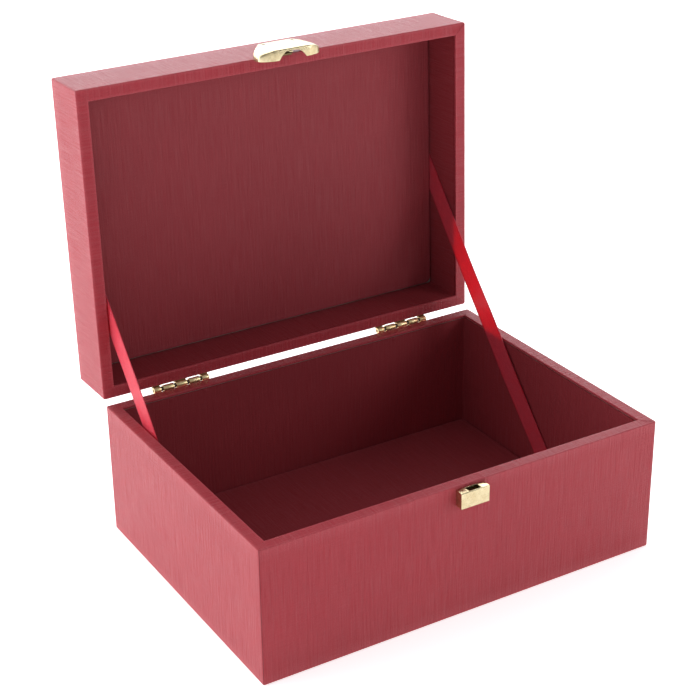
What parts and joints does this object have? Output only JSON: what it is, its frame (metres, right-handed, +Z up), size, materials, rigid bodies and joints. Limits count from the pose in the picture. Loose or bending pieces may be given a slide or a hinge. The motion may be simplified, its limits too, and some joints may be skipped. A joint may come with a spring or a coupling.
{
  "type": "hinged gift box",
  "caption": "Rectangular red linen-paper gift box with a hinged lid held open by satin ribbons, brass butt hinges and a brass lever catch.",
  "frame": {"origin": "centre of the base's underside", "axes": "+Z up, -Y out of the front where the keeper is, +X to the right seen from the front"},
  "size_m": [0.26, 0.2371, 0.2813],
  "materials": {
    "board": "raw medium-density board, hidden under the coverings",
    "cover_paper": "linen-embossed covering paper, matt with a faint sheen",
    "lining_paper": "linen-embossed lining paper, matt",
    "brass": "bright pressed brass",
    "pin_steel": "brass-washed steel wire",
    "spring_steel": "bright drawn wire",
    "ribbon_satin": "woven satin, glossy"
  },
  "bodies": {
    "base": {"base_back_board": "board", "base_back_lining": "lining_paper", "base_front_board": "board", "base_front_lining": "lining_paper", "base_left_board": "board", "base_left_lining": "lining_paper", "base_panel_board": "board", "base_panel_cover": "lining_paper", "base_plate_board": "board", "base_right_board": "board", "base_right_lining": "lining_paper", "base_underside_sheet": "cover_paper", "base_wrap": "cover_paper", "hinge_base_leaf_left": "brass", "hinge_base_leaf_right": "brass", "hinge_nails_base": "brass", "hinge_pin_left": "pin_steel", "hinge_pin_right": "pin_steel", "keeper": "brass", "ribbon_left": "ribbon_satin", "ribbon_right": "ribbon_satin"},
    "lid": {"catch_nails": "brass", "catch_pin": "pin_steel", "catch_plate": "brass", "catch_spring": "spring_steel", "hinge_lid_leaf_left": "brass", "hinge_lid_leaf_right": "brass", "hinge_nails_lid": "brass", "lid_back_board": "board", "lid_back_lining": "lining_paper", "lid_front_board": "board", "lid_front_lining": "lining_paper", "lid_left_board": "board", "lid_left_lining": "lining_paper", "lid_panel_board": "board", "lid_panel_cover": "lining_paper", "lid_plate_board": "board", "lid_right_board": "board", "lid_right_lining": "lining_paper", "lid_top_sheet": "cover_paper", "lid_wrap": "cover_paper"},
    "lever": {"catch_lever": "brass"}
  },
  "joints": [
    {"name": "lid_hinge", "type": "hinge", "parent": "base", "child": "lid", "pos_m": [0, 0.0965, 0.08315], "axis": [1, 0, 0], "range_deg": [0, 91.8], "deforming": ["ribbon_left", "ribbon_right"]},
    {"name": "catch_lever_pivot", "type": "hinge", "parent": "lid", "child": "lever", "pos_m": [0, 0.10692, 0.27622], "axis": [-1, 0, 0], "range_deg": [0, 9], "stiffness_Nm_per_rad": 0.02, "springref_deg": -20.05, "deforming": ["catch_spring"]}
  ]
}
